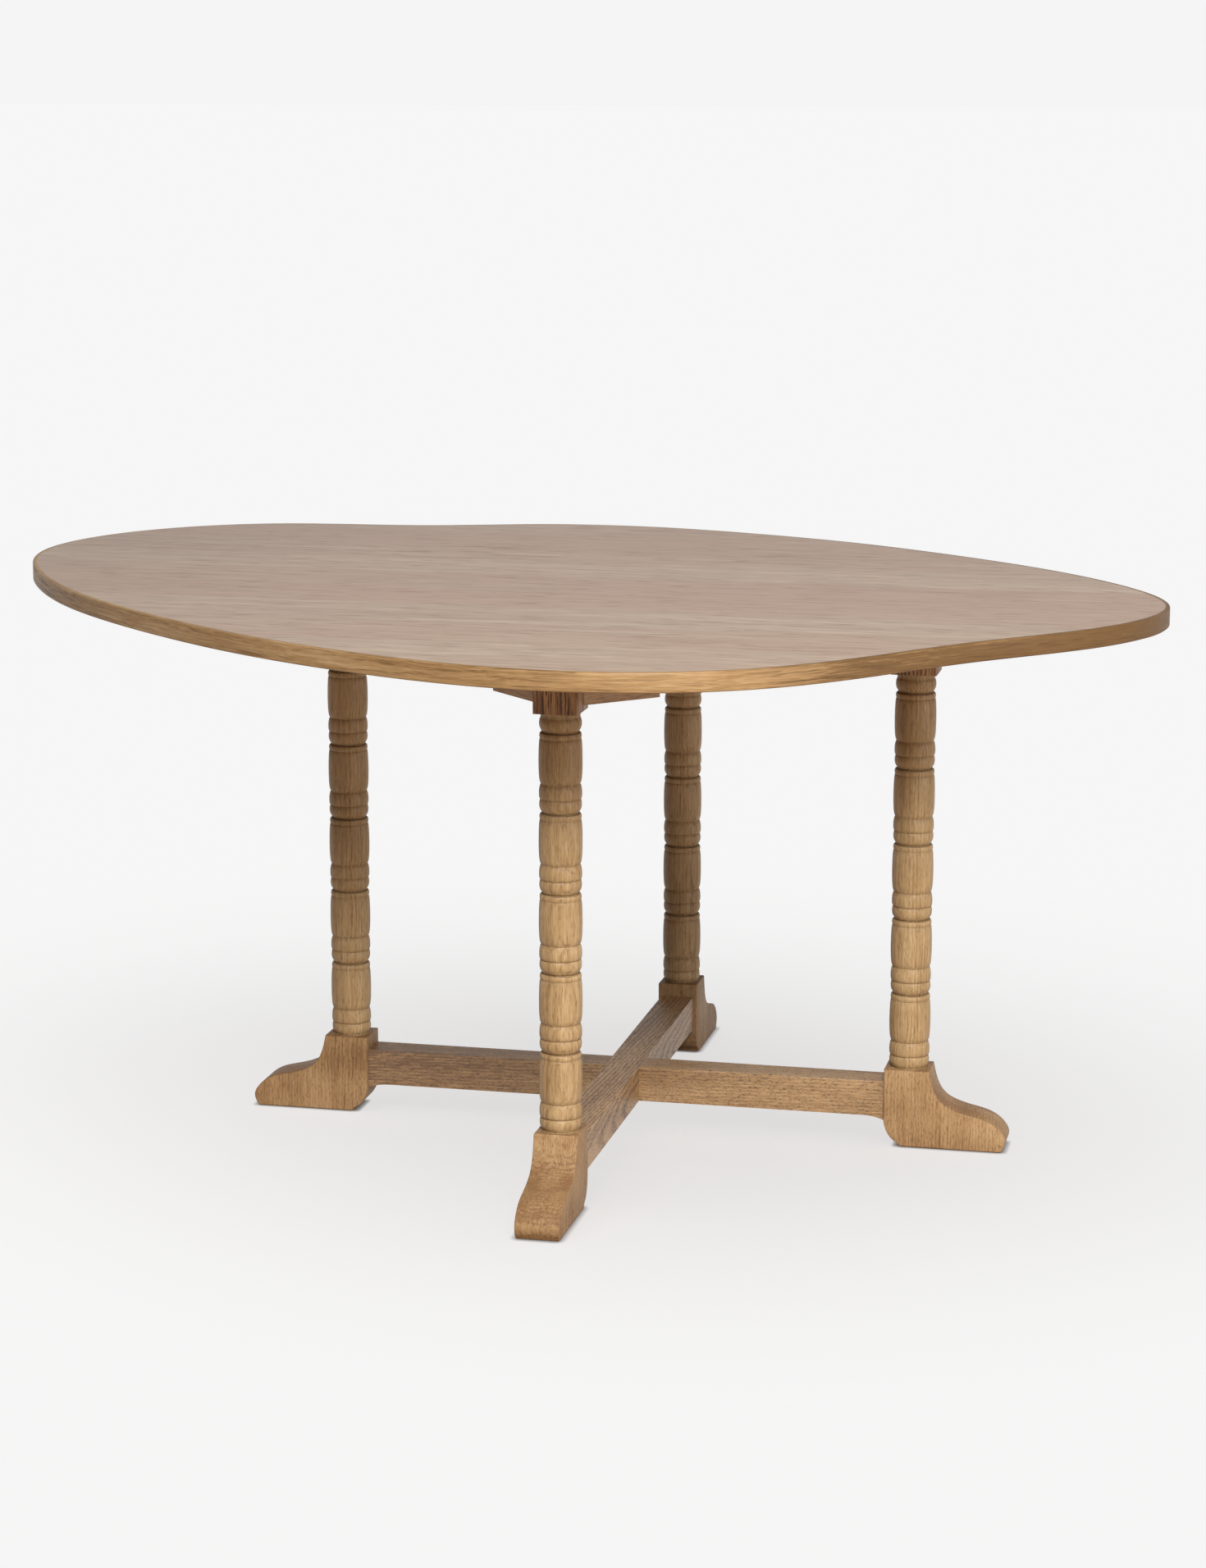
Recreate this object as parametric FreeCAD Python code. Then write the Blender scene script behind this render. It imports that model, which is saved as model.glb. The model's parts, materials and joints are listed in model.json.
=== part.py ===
import FreeCAD, Part
import math
import os

V = FreeCAD.Vector

# Driving dimensions in millimetres. Z is up and the floor is z = 0. The four legs stand
# on the X and Y axes, and the stretchers cross on the Z axis.
table_height = 762.0
top_thickness = 25.4
veneer_thickness = 1.0
lipping_width = 6.0
lipping_arris = 2.0

# The top's wavy edge: its distance from top_middle every 15 degrees, anticlockwise from +X.
top_middle = V(-95, 0, 0)
top_radii = [835, 781, 714, 670, 656, 661, 687, 708, 725, 843, 901, 869,
             766, 676, 615, 587, 588, 612, 661, 713, 731, 712, 715, 788]
lipping_joints = [75, 165, 255, 345]
inset_samples = 96
wedge_reach = 1600.0

leg_reach = 402.0
block_length = 62.0
block_width = 58.5
head_bottom = 662.0
turn_period = 105.5
turn_count = 5
spigot_radius = 15.0
spigot_length = 24.0

foot_height = 109.0
toe_reach = 138.0
toe_contact = 132.0
heel_contact = -8.0
heel_height = 36.0
foot_arris = 1.5

stretcher_width = 49.0
stretcher_top = 90.0
stretcher_height = 49.5
flare_length = 30.0
flare_drop = 5.5
tenon_length = 22.0
tenon_thick = 20.0
tenon_height = 34.0
wood_arris = 1.0

rail_thickness = 32.0
rail_bottom = 669.0
rail_shoulder = 141.0
rail_step = 22.0

dowel_radius = 5.0
dowel_start = 20.0
dowel_length = 56.0
dowel_levels = [690.0, 716.0]
screw_radius = 2.5
screw_head_radius = 5.0
screw_head_height = 3.0
screw_tip_radius = 0.4
screw_tip_length = 4.0
screw_hole_radius = 5.5
top_screw_level = 713.0
top_screw_length = 37.0
top_screw_offset = 90.0
lap_screw_length = 34.0
lap_screw_offset = 11.0
bolt_radius = 4.0
bolt_head_radius = 6.5
bolt_head_height = 8.0
bolt_key_radius = 3.4
bolt_key_depth = 4.0
washer_radius = 10.0
washer_thickness = 2.0
counterbore_radius = 11.0
counterbore_depth = 20.0
insert_radius = 6.5
insert_length = 20.0

under_top = table_height - top_thickness
lap_level = stretcher_top - stretcher_height / 2
rail_reach = leg_reach * math.sqrt(0.5)
sides = {"right": 0, "far": 90, "left": 180, "near": 270}
rail_turns = {"rail_far_right": 45, "rail_far_left": 135, "rail_near_left": 225, "rail_near_right": 315}
node_shapes = {}


def cylinder(radius, height, centre, direction=V(0, 0, 1)):
    return Part.makeCylinder(radius, height, centre, direction)


def box(low, high):
    size = high.sub(low)
    return Part.makeBox(size.x, size.y, size.z, low)


def turned(shape, angle):
    copy = shape.copy()
    copy.rotate(V(0, 0, 0), V(0, 0, 1), angle)
    return copy


def group(shapes):
    return shapes[0] if len(shapes) == 1 else Part.makeCompound(shapes)


def edge_curve():
    points = []
    for number, radius in enumerate(top_radii):
        points.append(top_middle + turned_point(radius, 15 * number))
    curve = Part.BSplineCurve()
    curve.interpolate(Points=points, PeriodicFlag=True)
    return curve


def inset_curve(inset):
    base = edge_curve()
    first = base.FirstParameter
    span = base.LastParameter - first
    points = []
    for number in range(inset_samples):
        at = first + span * number / inset_samples
        tangent = base.tangent(at)[0]
        points.append(base.value(at) + V(-tangent.y, tangent.x, 0) * inset)
    curve = Part.BSplineCurve()
    curve.interpolate(Points=points, PeriodicFlag=True)
    return curve


def slab(curve, bottom, top):
    wire = Part.Wire(curve.toShape())
    wire.translate(V(0, 0, bottom))
    return Part.Face(wire).extrude(V(0, 0, top - bottom))


def wedge(start, end):
    points = [top_middle]
    for angle in (start, (start + end) / 2, end):
        points.append(top_middle + turned_point(wedge_reach, angle))
    points.append(top_middle)
    return Part.Face(Part.makePolygon(points)).extrude(V(0, 0, 2 * table_height))


def make_top():
    inside = inset_curve(lipping_width)
    core_low = under_top + veneer_thickness
    core_high = table_height - veneer_thickness
    core = slab(inside, core_low, core_high)
    under_veneer = slab(inside, under_top, core_low)
    for hole in top_screw_holes():
        core = core.cut(hole)
        under_veneer = under_veneer.cut(hole)
    node_shapes["top_core"] = core
    node_shapes["top_veneer"] = slab(inside, core_high, table_height)
    node_shapes["underside_veneer"] = under_veneer
    whole = slab(edge_curve(), under_top, table_height)
    rims = [edge for edge in whole.Edges if edge.BoundBox.ZLength < 0.01]
    whole = whole.makeFillet(lipping_arris, rims)
    band = whole.cut(slab(inside, under_top, table_height))
    names = ["lipping_far", "lipping_left", "lipping_near", "lipping_right"]
    for number, name in enumerate(names):
        start = lipping_joints[number]
        node_shapes[name] = band.common(wedge(start, start + 90))


# The turned part of the leg, as (height, radius) above each deep groove. A repeat runs up
# from the groove: bead, shallow groove, short barrel, groove, long barrel, fine line and a
# shoulder under the next deep groove.
bead_outline = [(3.0, 25.5), (6.5, 26.9), (10.5, 27.5), (15.5, 26.9), (17.2, 26.1)]
barrel_outline = [(18.4, 27.1), (22.0, 27.7), (29.0, 27.7), (35.0, 26.7), (37.6, 25.4),
                  (39.6, 26.5), (46.0, 27.5), (58.0, 28.3), (74.0, 28.3), (90.0, 27.7), (95.2, 26.9),
                  (96.0, 26.4), (99.2, 27.2), (101.5, 27.1), (103.6, 25.7),
                  (103.8, 23.0), (105.3, 23.0), (105.5, 24.2)]
neck_outline = [(6.0, 25.5), (2.5, 25.9), (0.0, 26.7)]


def turned_outline():
    outline = [(0, 24.8)]
    for number in range(turn_count + 1):
        pattern = bead_outline if number == turn_count else bead_outline + barrel_outline
        for height, radius in pattern:
            outline.append((number * turn_period + height, radius))
    for below, radius in neck_outline:
        outline.append((head_bottom - foot_height - below, radius))
    return outline


def make_leg(angle):
    outline = [V(radius, 0, foot_height + height) for height, radius in turned_outline()]
    axis_top = V(0, 0, head_bottom)
    axis_bottom = V(0, 0, foot_height)
    face = Part.Face(Part.makePolygon([axis_bottom] + outline + [axis_top, axis_bottom]))
    post = face.revolve(V(0, 0, 0), V(0, 0, 1), 360)
    spigot = cylinder(spigot_radius, spigot_length + 1, V(0, 0, foot_height - spigot_length))
    head = box(V(-block_length / 2, -block_width / 2, head_bottom),
               V(block_length / 2, block_width / 2, under_top))
    upright = [edge for edge in head.Edges if edge.BoundBox.ZLength > 1]
    head = head.makeFillet(wood_arris, upright)
    leg = post.fuse([spigot, head]).removeSplitter()
    socket_bottom = foot_height - spigot_length
    leg = leg.cut(cylinder(insert_radius, insert_length, V(0, 0, socket_bottom)))
    leg.translate(V(leg_reach, 0, 0))
    leg = turned(leg, angle)
    for hole in dowel_shapes():
        if hole.BoundBox.intersect(leg.BoundBox):
            leg = leg.cut(hole)
    return leg


# The foot's ogee between its top corner and its toe, as (distance out from the leg's axis, height).
ogee = [(35.5, 90), (41, 76), (50, 65), (63, 57.5), (82, 51.5), (99, 47.5), (113, 43), (124, 36.5),
        (132.5, 28), (toe_reach, 17), (136.5, 7.5)]


def foot_profile():
    cove = Part.BSplineCurve()
    points = [(block_length / 2, foot_height)] + ogee + [(toe_contact, 0)]
    cove.interpolate([V(reach, 0, height) for reach, height in points])
    heel = Part.Arc(V(heel_contact, 0, 0), V(-17.5, 0, 8.5), V(-block_length / 2, 0, heel_height))
    corner = V(-block_length / 2, 0, foot_height)
    edges = [cove.toShape(),
             Part.LineSegment(V(toe_contact, 0, 0), V(heel_contact, 0, 0)).toShape(),
             heel.toShape(),
             Part.LineSegment(V(-block_length / 2, 0, heel_height), corner).toShape(),
             Part.LineSegment(corner, V(block_length / 2, 0, foot_height)).toShape()]
    return Part.Face(Part.Wire(edges))


def make_foot(angle):
    face = foot_profile()
    face.translate(V(0, -block_width / 2, 0))
    foot = face.extrude(V(0, block_width, 0))
    sides_only = [edge for edge in foot.Edges if edge.BoundBox.YLength < 0.01]
    foot = foot.makeFillet(foot_arris, sides_only)
    socket_bottom = foot_height - spigot_length
    foot = foot.cut(cylinder(spigot_radius, spigot_length + 5, V(0, 0, socket_bottom)))
    foot = foot.cut(cylinder(bolt_radius, foot_height, V(0, 0, 0)))
    foot = foot.cut(cylinder(counterbore_radius, counterbore_depth + 5, V(0, 0, -5)))
    foot = foot.cut(tenon(-block_length / 2))
    foot.translate(V(leg_reach, 0, 0))
    return turned(foot, angle)


def tenon(shoulder):
    return box(V(shoulder, -tenon_thick / 2, lap_level - tenon_height / 2),
               V(shoulder + tenon_length, tenon_thick / 2, lap_level + tenon_height / 2))


def stretcher_profile(half):
    low = stretcher_top - stretcher_height
    drop = low - flare_drop
    inner = half - flare_length
    mid = V(half - flare_length * 0.42, 0, low - flare_drop * 0.32)
    right = Part.Arc(V(inner, 0, low), mid, V(half, 0, drop)).toShape()
    left = right.mirror(V(0, 0, 0), V(1, 0, 0))
    edges = [right,
             Part.LineSegment(V(half, 0, drop), V(half, 0, stretcher_top)).toShape(),
             Part.LineSegment(V(half, 0, stretcher_top), V(-half, 0, stretcher_top)).toShape(),
             Part.LineSegment(V(-half, 0, stretcher_top), V(-half, 0, drop)).toShape(),
             left,
             Part.LineSegment(V(-inner, 0, low), V(inner, 0, low)).toShape()]
    return Part.Face(Part.Wire(Part.__sortEdges__(edges)))


def make_stretcher(angle, notch_low, notch_high):
    half = leg_reach - block_length / 2
    face = stretcher_profile(half)
    face.translate(V(0, -stretcher_width / 2, 0))
    bar = face.extrude(V(0, stretcher_width, 0))
    top_long = [edge for edge in bar.Edges
                if edge.BoundBox.XLength > half and edge.BoundBox.ZMin > stretcher_top - 1]
    bar = bar.makeFillet(wood_arris, top_long)
    bar = bar.fuse([tenon(half), turned(tenon(half), 180)])
    wide = stretcher_width / 2
    bar = bar.cut(box(V(-wide, -wide, notch_low), V(wide, wide, notch_high)))
    bar = turned(bar, angle)
    for screw in lap_screw_shapes():
        bar = bar.cut(screw)
    return bar


def make_rail(angle):
    thick = rail_thickness / 2
    inner = rail_reach - thick
    outer = rail_reach + thick
    rail = box(V(inner, -rail_reach, rail_bottom), V(outer, rail_reach, under_top))
    clear = rail_reach - rail_shoulder
    rail = rail.cut(box(V(inner, -clear, rail_bottom), V(outer, clear, rail_bottom + rail_step)))
    rail = turned(rail, angle)
    for side in sides.values():
        head = box(V(leg_reach - block_length / 2, -block_width / 2, rail_bottom),
                   V(leg_reach + block_length, block_width / 2, under_top))
        rail = rail.cut(turned(head, side))
    rail = max(rail.Solids, key=lambda piece: piece.Volume)
    for hole in dowel_shapes() + top_screw_holes():
        if hole.BoundBox.intersect(rail.BoundBox):
            rail = rail.cut(hole)
    return rail


def dowel_shapes():
    shapes = []
    for angle in rail_turns.values():
        for height in dowel_levels:
            for way in (-1, 1):
                start = V(rail_reach, way * (rail_reach - dowel_start), height)
                shapes.append(turned(cylinder(dowel_radius, dowel_length, start, V(0, -way, 0)), angle))
    return shapes


def screw(length, level):
    start = V(0, 0, level)
    shank = cylinder(screw_radius, length, start)
    head = Part.makeCone(screw_head_radius, screw_radius, screw_head_height, start)
    point = Part.makeCone(screw_radius, screw_tip_radius, screw_tip_length, start + V(0, 0, length))
    return shank.fuse([head, point]).removeSplitter()


def placed_top_screws():
    screws = []
    for angle in rail_turns.values():
        for along in (-top_screw_offset, top_screw_offset):
            piece = screw(top_screw_length, top_screw_level)
            piece.translate(V(rail_reach, along, 0))
            screws.append(turned(piece, angle))
    return screws


def top_screw_holes():
    holes = placed_top_screws()
    depth = top_screw_level - rail_bottom
    for angle in rail_turns.values():
        for along in (-top_screw_offset, top_screw_offset):
            hole = cylinder(screw_hole_radius, depth, V(rail_reach, along, rail_bottom))
            holes.append(turned(hole, angle))
    return holes


def lap_screw_shapes():
    low = stretcher_top - stretcher_height
    screws = []
    for along in (-lap_screw_offset, lap_screw_offset):
        piece = screw(lap_screw_length, low)
        piece.translate(V(along, 0, 0))
        screws.append(piece)
    return screws


def turned_point(radius, angle):
    return V(radius * math.cos(math.radians(angle)), radius * math.sin(math.radians(angle)), 0)


def leg_fixings():
    socket_bottom = foot_height - spigot_length
    bolt_end = socket_bottom + insert_length - 2
    head_top = counterbore_depth - washer_thickness
    bolts = []
    washers = []
    inserts = []
    for angle in sides.values():
        at = V(leg_reach, 0, 0)
        shank = cylinder(bolt_radius, bolt_end - head_top, at + V(0, 0, head_top))
        head_start = at + V(0, 0, head_top - bolt_head_height)
        head = cylinder(bolt_head_radius, bolt_head_height, head_start)
        corners = [head_start + turned_point(bolt_key_radius, 60 * number) for number in range(7)]
        key = Part.Face(Part.makePolygon(corners)).extrude(V(0, 0, bolt_key_depth))
        bolt = shank.fuse(head).cut(key)
        bolts.append(turned(bolt, angle))
        washer = cylinder(washer_radius, washer_thickness, at + V(0, 0, head_top))
        washers.append(turned(washer.cut(cylinder(bolt_radius, 5, at + V(0, 0, head_top - 1))), angle))
        insert = cylinder(insert_radius, insert_length, at + V(0, 0, socket_bottom))
        insert = insert.cut(cylinder(bolt_radius, insert_length, at + V(0, 0, socket_bottom)))
        inserts.append(turned(insert, angle))
    node_shapes["leg_bolts"] = group(bolts)
    node_shapes["bolt_washers"] = group(washers)
    node_shapes["leg_inserts"] = group(inserts)


make_top()
for side, angle in sides.items():
    node_shapes["leg_" + side] = make_leg(angle)
    node_shapes["foot_" + side] = make_foot(angle)
node_shapes["stretcher_long"] = make_stretcher(90, 0, lap_level)
node_shapes["stretcher_cross"] = make_stretcher(0, lap_level, table_height)
for name, angle in rail_turns.items():
    node_shapes[name] = make_rail(angle)
leg_fixings()
node_shapes["rail_dowels"] = group(dowel_shapes())
node_shapes["top_screws"] = group(placed_top_screws())
node_shapes["lap_screws"] = group(lap_screw_shapes())

os.makedirs("parts", exist_ok=True)
for name, shape in node_shapes.items():
    shape.exportStep(os.path.join("parts", name + ".step"))
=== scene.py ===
import json
import math

import bmesh
import bpy
import numpy as np
from mathutils import Matrix, Vector

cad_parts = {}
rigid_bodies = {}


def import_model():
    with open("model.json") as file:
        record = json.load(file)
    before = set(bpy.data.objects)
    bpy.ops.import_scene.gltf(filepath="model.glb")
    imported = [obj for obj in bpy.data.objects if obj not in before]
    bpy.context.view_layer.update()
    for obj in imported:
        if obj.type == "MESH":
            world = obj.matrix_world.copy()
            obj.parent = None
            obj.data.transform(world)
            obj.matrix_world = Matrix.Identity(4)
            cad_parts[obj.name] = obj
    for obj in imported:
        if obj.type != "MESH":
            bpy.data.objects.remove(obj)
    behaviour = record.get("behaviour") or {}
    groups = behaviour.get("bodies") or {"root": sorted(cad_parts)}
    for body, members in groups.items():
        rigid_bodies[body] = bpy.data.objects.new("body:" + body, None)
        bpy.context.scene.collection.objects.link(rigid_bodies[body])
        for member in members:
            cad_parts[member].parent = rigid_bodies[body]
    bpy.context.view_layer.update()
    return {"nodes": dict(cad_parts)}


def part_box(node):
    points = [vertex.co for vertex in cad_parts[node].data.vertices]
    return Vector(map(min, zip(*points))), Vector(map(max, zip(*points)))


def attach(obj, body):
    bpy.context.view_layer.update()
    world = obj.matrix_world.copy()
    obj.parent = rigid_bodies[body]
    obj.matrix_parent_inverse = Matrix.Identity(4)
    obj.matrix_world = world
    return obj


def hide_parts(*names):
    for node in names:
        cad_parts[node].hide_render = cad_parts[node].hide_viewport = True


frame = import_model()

nodes = frame["nodes"]
print("stage: frame loaded,", len(nodes), "nodes")


class Value:  # a wrapped socket that does maths
    def __init__(self, material, socket):
        self.material = material
        self.socket = socket

    def maths(self, operation, first, second=None):
        return self.material.maths(operation, first, second)

    def __add__(self, other):
        return self.maths("ADD", self, other)

    def __radd__(self, other):
        return self.maths("ADD", other, self)

    def __sub__(self, other):
        return self.maths("SUBTRACT", self, other)

    def __rsub__(self, other):
        return self.maths("SUBTRACT", other, self)

    def __mul__(self, other):
        return self.maths("MULTIPLY", self, other)

    def __rmul__(self, other):
        return self.maths("MULTIPLY", other, self)

    def __truediv__(self, other):
        return self.maths("DIVIDE", self, other)

    def __rtruediv__(self, other):
        return self.maths("DIVIDE", other, self)

    def fraction(self):
        return self.maths("FRACT", self)

    def root(self):
        return self.maths("SQRT", self)

    def between(self, low, high):  # 0 at low, 1 at high, smooth in between
        return self.material.node("ShaderNodeMapRange", {"interpolation_type": "SMOOTHSTEP"},
                                  {"Value": self, "From Min": low, "From Max": high})


class Material:  # a material that adds its own nodes
    def __init__(self, name):
        self.made = bpy.data.materials.new(name)
        self.made.use_nodes = True
        self.tree = self.made.node_tree
        self.tree.nodes.clear()
        self.shader = self.tree.nodes.new("ShaderNodeBsdfPrincipled")
        output = self.tree.nodes.new("ShaderNodeOutputMaterial")
        self.tree.links.new(self.shader.outputs[0], output.inputs["Surface"])

    def put(self, socket, value):
        if isinstance(value, Value):
            self.tree.links.new(value.socket, socket)
        else:
            socket.default_value = value

    def node(self, kind, settings=None, sockets=None, output=0):
        made = self.tree.nodes.new(kind)
        for name, value in (settings or {}).items():
            setattr(made, name, value)
        for name, value in (sockets or {}).items():
            self.put(made.inputs[name], value)
        return Value(self, made.outputs[output])

    def maths(self, operation, first, second=None):
        inputs = {0: first}
        if second is not None:
            inputs[1] = second
        return self.node("ShaderNodeMath", {"operation": operation}, inputs)

    def mix(self, factor, first, second):
        sockets = {0: factor, 6: first, 7: second}
        return self.node("ShaderNodeMix", {"data_type": "RGBA"}, sockets, 2)

    def split(self, place):
        first = self.node("ShaderNodeSeparateXYZ", {}, {"Vector": place})
        outputs = first.socket.node.outputs
        return first, Value(self, outputs[1]), Value(self, outputs[2])

    def join(self, x, y, z):
        return self.node("ShaderNodeCombineXYZ", {}, {"X": x, "Y": y, "Z": z})

    def noise(self, place, fineness, detail=2.0, roughness=0.5):  # fineness along each axis
        scaled = self.node("ShaderNodeVectorMath", {"operation": "MULTIPLY"},
                           {0: place, 1: fineness})
        return self.node("ShaderNodeTexNoise", {},
                         {"Vector": scaled, "Scale": 1.0, "Detail": detail, "Roughness": roughness})

    def finish(self, color, roughness, height, bumpDistance, fixed=None):
        self.put(self.shader.inputs["Base Color"], color)
        self.put(self.shader.inputs["Roughness"], roughness)
        bump = self.node("ShaderNodeBump", {}, {"Height": height, "Strength": 1.0,
                                                "Distance": bumpDistance})
        self.put(self.shader.inputs["Normal"], bump)
        for name, value in (fixed or {}).items():
            self.shader.inputs[name].default_value = value
        return self.made


def linear(red, green, blue):  # a screen colour as the shader's own values
    return tuple(((c / 255 + 0.055) / 1.055) ** 2.4 if c > 10 else c / 255 / 12.92
                 for c in (red, green, blue)) + (1.0,)


def shade(tone, amount):
    return tuple(channel * amount for channel in tone[:3]) + (1.0,)


# one recipe for every oak piece; fineness is along, across and deep, per metre
oakLook = {
    "ringSpacing": 0.0046,
    "early": ((0.0, 0.16), (0.20, 0.62)),  # where in a ring the open wood starts and ends
    "ringMiddle": 0.3,
    "slowWaver": (4.5, 22.0, 22.0),
    "slowBend": (0.0150, 0.0100),
    "quickWaver": (26.0, 70.0, 70.0),
    "quickBend": (0.00275, 0.0020),
    "patches": (3.0, 34.0, 34.0),
    "driftAcross": 6.0,
    "fibres": (40.0, 760.0, 760.0),
    "poreAcross": 640.0,
    "poreCut": (0.52, 0.66),
    "latePores": 0.62,
    "poreDark": 0.40,
    "poreDepth": 0.00025,
    "patchTone": 1.1,
    "streakTone": 1.5,
    "fibreTone": 0.9,
    "ringTone": 0.55,
    "lightToMiddle": (0.05, 0.60),
    "middleToDark": (0.50, 1.10),
    "upFacingSpan": (0.1, 0.8),
    "grooveShadeDark": 0.36,
    "roughness": 0.44,
    "fibreRough": 0.12,
    "poreRough": 0.20,
    "grooveRough": 0.2,
    "poreBump": 0.8,
    "fibreBump": 0.3,
}


def oak(name, look):
    light, middle, dark = (linear(*tone) for tone in look["tones"])
    made = Material(name)
    if look.get("ownPlace"):
        place = made.node("ShaderNodeAttribute", {"attribute_name": "woodPlace"}, output=1)
    else:
        place = made.node("ShaderNodeTexCoord", output=3)
    grain = made.node("ShaderNodeMapping", {},
                      {"Vector": place, "Location": look.get("pith", (0, 0, 0)),
                       "Rotation": look.get("turn", (0, 0, 0))})
    along, across, deep = made.split(grain)
    slow = made.noise(grain, oakLook["slowWaver"]) - 0.5
    quick = made.noise(grain, oakLook["quickWaver"]) - 0.5
    across = across + slow * oakLook["slowBend"][0] + quick * oakLook["quickBend"][0]
    deep = deep - slow * oakLook["slowBend"][1] + quick * oakLook["quickBend"][1]
    bent = made.join(along, across, deep)
    season = ((across * across + deep * deep).root() / oakLook["ringSpacing"]).fraction()
    opening, closing = oakLook["early"]
    early = season.between(*opening) * (1 - season.between(*closing))
    patch = made.noise(bent, oakLook["patches"], 3.0) - 0.5
    driftShape = (look["driftAlong"], oakLook["driftAcross"], oakLook["driftAcross"])
    drift = made.noise(grain, driftShape, 1.0) - 0.5
    streakShape = (look["streakAlong"], look["streakAcross"], look["streakAcross"])
    streak = made.noise(bent, streakShape, 3.0, 0.6) - 0.5
    fibre = made.noise(bent, oakLook["fibres"], 2.0, 0.6) - 0.5
    poreShape = (look["poreAlong"], oakLook["poreAcross"], oakLook["poreAcross"])
    pits = made.noise(bent, poreShape, 1.0).between(*oakLook["poreCut"])
    late = oakLook["latePores"]
    pits = pits * (late + early * (1 - late)) * look["pores"]
    depth = (patch * oakLook["patchTone"] + drift * look["drift"]
             + streak * (oakLook["streakTone"] * look["streaks"]) + fibre * oakLook["fibreTone"]
             + (early - oakLook["ringMiddle"]) * (oakLook["ringTone"] * look["rings"]) + 0.5)
    if "shadeRamp" in look:  # painted shade: darker towards one end of the piece, where less light falls
        first, last, amount = look["shadeRamp"]
        depth = depth + along.between(first, last) * amount
    if "upFacingShade" in look:  # painted shade: darker where the face looks up, where the table top keeps light off
        facing = made.split(made.node("ShaderNodeTexCoord", output=1))[2]
        depth = depth + facing.between(*oakLook["upFacingSpan"]) * look["upFacingShade"]
    body = made.mix(depth.between(*oakLook["lightToMiddle"]), light, middle)
    body = made.mix(depth.between(*oakLook["middleToDark"]), body, dark)
    color = made.mix(pits, body, shade(dark, oakLook["poreDark"]))
    rough = (oakLook["roughness"] + fibre * oakLook["fibreRough"]
             + pits * oakLook["poreRough"])
    if "grooveShade" in look:  # painted shade: the turned grooves are darker; they are also duller
        groove = made.node("ShaderNodeAttribute", {"attribute_name": "groove"}, output=2)
        color = made.mix(groove * look["grooveShade"], color, shade(dark, oakLook["grooveShadeDark"]))
        rough = rough + groove * oakLook["grooveRough"]
    height = (1 - pits) * oakLook["poreBump"] + fibre * oakLook["fibreBump"]
    return made.finish(color, rough, height, oakLook["poreDepth"],
                       {"Specular IOR Level": look["gloss"]})


quarter = math.pi / 2
plain = {"rings": 0.3, "pores": 0.6, "poreAlong": 95.0, "streaks": 1.0, "streakAlong": 13.0,
         "streakAcross": 330.0, "drift": 0.6, "driftAlong": 2.5, "gloss": 0.3}
# the legs carry painted shade in their grooves
legOak = oak("turnedLegOak", {
    **plain, "tones": ((176, 150, 111), (156, 127, 88), (124, 92, 57)), "ownPlace": True,
    "grooveShade": 0.38, "pores": 0.38, "streaks": 0.8})
headOak = oak("legHeadOak", {
    **plain, "tones": ((178, 138, 98), (150, 112, 76), (84, 56, 34)), "ownPlace": True,
    "rings": 0.5, "pores": 0.9, "poreAlong": 34.0, "streaks": 2.3, "streakAlong": 6.0})
# the feet carry painted shade on their upward faces
footOak = oak("footOak", {
    **plain, "tones": ((166, 137, 101), (150, 119, 84), (120, 89, 60)), "ownPlace": True,
    "streaks": 0.8, "pores": 0.5, "poreAlong": 150.0, "drift": 1.3, "driftAlong": 16.0,
    "upFacingShade": 0.44, "gloss": 0.08})
stretcherLook = {
    **plain, "tones": ((170, 138, 98), (144, 111, 73), (102, 71, 43)), "rings": 0.4,
    "pores": 0.75, "poreAlong": 230.0, "streaks": 0.75, "streakAlong": 60.0, "gloss": 0.75}
# painted shade: the cross stretcher darkens towards its left end
crossOak = oak("crossStretcherOak", {
    **stretcherLook, "turn": (0, 0.03, 0.02), "pith": (0.2, 0.05, 0.02),
    "shadeRamp": (0.30, -0.30, 0.40)})
longOak = oak("longStretcherOak", {
    **stretcherLook, "turn": (0.0, 0.05, quarter + 0.05), "pith": (0.5, 0.052, -0.049),
    "rings": 1.0, "poreAlong": 120.0})
railLook = {
    **plain, "tones": ((178, 148, 110), (160, 126, 88), (124, 92, 60)), "pores": 0.4,
    "streaks": 0.7}
railOak = oak("railOak", {**railLook, "turn": (0, 0, quarter / 2), "pith": (0.7, 0.03, 0.02)})
railOakTurned = oak("railOakTurned", {
    **railLook, "turn": (0, 0, -quarter / 2), "pith": (0.9, 0.03, 0.02)})
# painted shade: the near strip of lipping darkens towards its right end
edgeOak = oak("lippingOak", {
    **plain, "tones": ((165, 137, 99), (145, 114, 77), (103, 76, 45)), "ownPlace": True,
    "pith": (0, 0.09, 0.035), "pores": 0.42, "poreAlong": 14.0, "streaks": 0.8,
    "streakAlong": 3.0, "drift": 0.8, "driftAlong": 2.0, "gloss": 0.16,
    "shadeRamp": (2.82, 3.16, 0.66)})
print("stage: oak made")

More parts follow.
